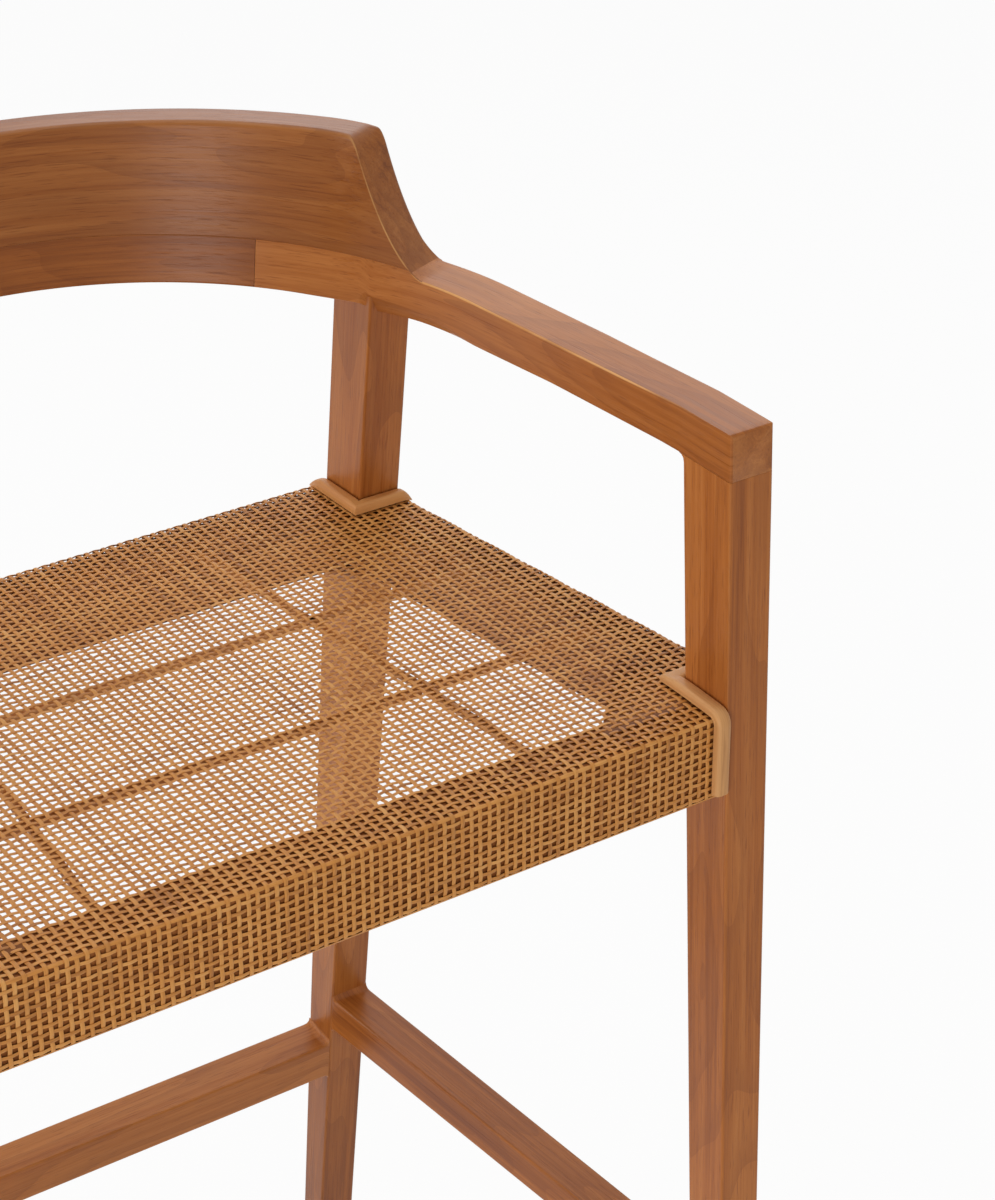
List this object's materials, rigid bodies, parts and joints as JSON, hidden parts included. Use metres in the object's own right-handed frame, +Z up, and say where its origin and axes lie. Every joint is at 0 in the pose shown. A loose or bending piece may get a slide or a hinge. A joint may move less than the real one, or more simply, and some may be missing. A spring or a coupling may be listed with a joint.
{
  "type": "bar stool",
  "caption": "Wooden bar stool with arms, a curved crest board on a horseshoe back rail, a woven rattan seat with a waterfall front, and stretchers that serve as footrest.",
  "frame": {"origin": "middle of the stool's box on the floor, under the seat", "axes": "+Z up, +X to the stool's right hand side seen from the front, +Y from the front towards the back rest"},
  "size_m": [0.608, 0.5579, 1.013],
  "materials": {
    "teak": "satin oiled teak",
    "rattan_weave": "plain woven rattan",
    "peeled_rattan": "satin split rattan",
    "beech": "plain turned dowel",
    "screw_steel": "zinc plated",
    "glide_nylon": "matt"
  },
  "bodies": {
    "root": {"arm_left": "teak", "arm_right": "teak", "back_rail": "teak", "band_dowel_1": "beech", "band_dowel_2": "beech", "band_dowel_3": "beech", "band_dowel_4": "beech", "binding_front_left": "peeled_rattan", "binding_front_right": "peeled_rattan", "binding_rear_left": "peeled_rattan", "binding_rear_right": "peeled_rattan", "block_screw_1": "screw_steel", "block_screw_2": "screw_steel", "block_screw_3": "screw_steel", "block_screw_4": "screw_steel", "block_screw_5": "screw_steel", "block_screw_6": "screw_steel", "block_screw_7": "screw_steel", "block_screw_8": "screw_steel", "corner_block_front_left": "teak", "corner_block_front_right": "teak", "corner_block_rear_left": "teak", "corner_block_rear_right": "teak", "crest_board": "teak", "crest_dowel_1": "beech", "crest_dowel_2": "beech", "crest_dowel_3": "beech", "crest_dowel_4": "beech", "crest_dowel_5": "beech", "crest_dowel_6": "beech", "crest_dowel_7": "beech", "cross_batten_front": "teak", "cross_batten_rear": "teak", "foot_glide_front_left": "glide_nylon", "foot_glide_front_right": "glide_nylon", "foot_glide_rear_left": "glide_nylon", "foot_glide_rear_right": "glide_nylon", "footrest": "teak", "front_leg_left": "teak", "front_leg_right": "teak", "long_batten_left": "teak", "long_batten_right": "teak", "rear_leg_left": "teak", "rear_leg_right": "teak", "seat_rail_back": "teak", "seat_rail_front": "teak", "seat_rail_left": "teak", "seat_rail_right": "teak", "stretcher_back": "teak", "stretcher_left": "teak", "stretcher_right": "teak", "woven_seat": "rattan_weave"}
  },
  "joints": []
}
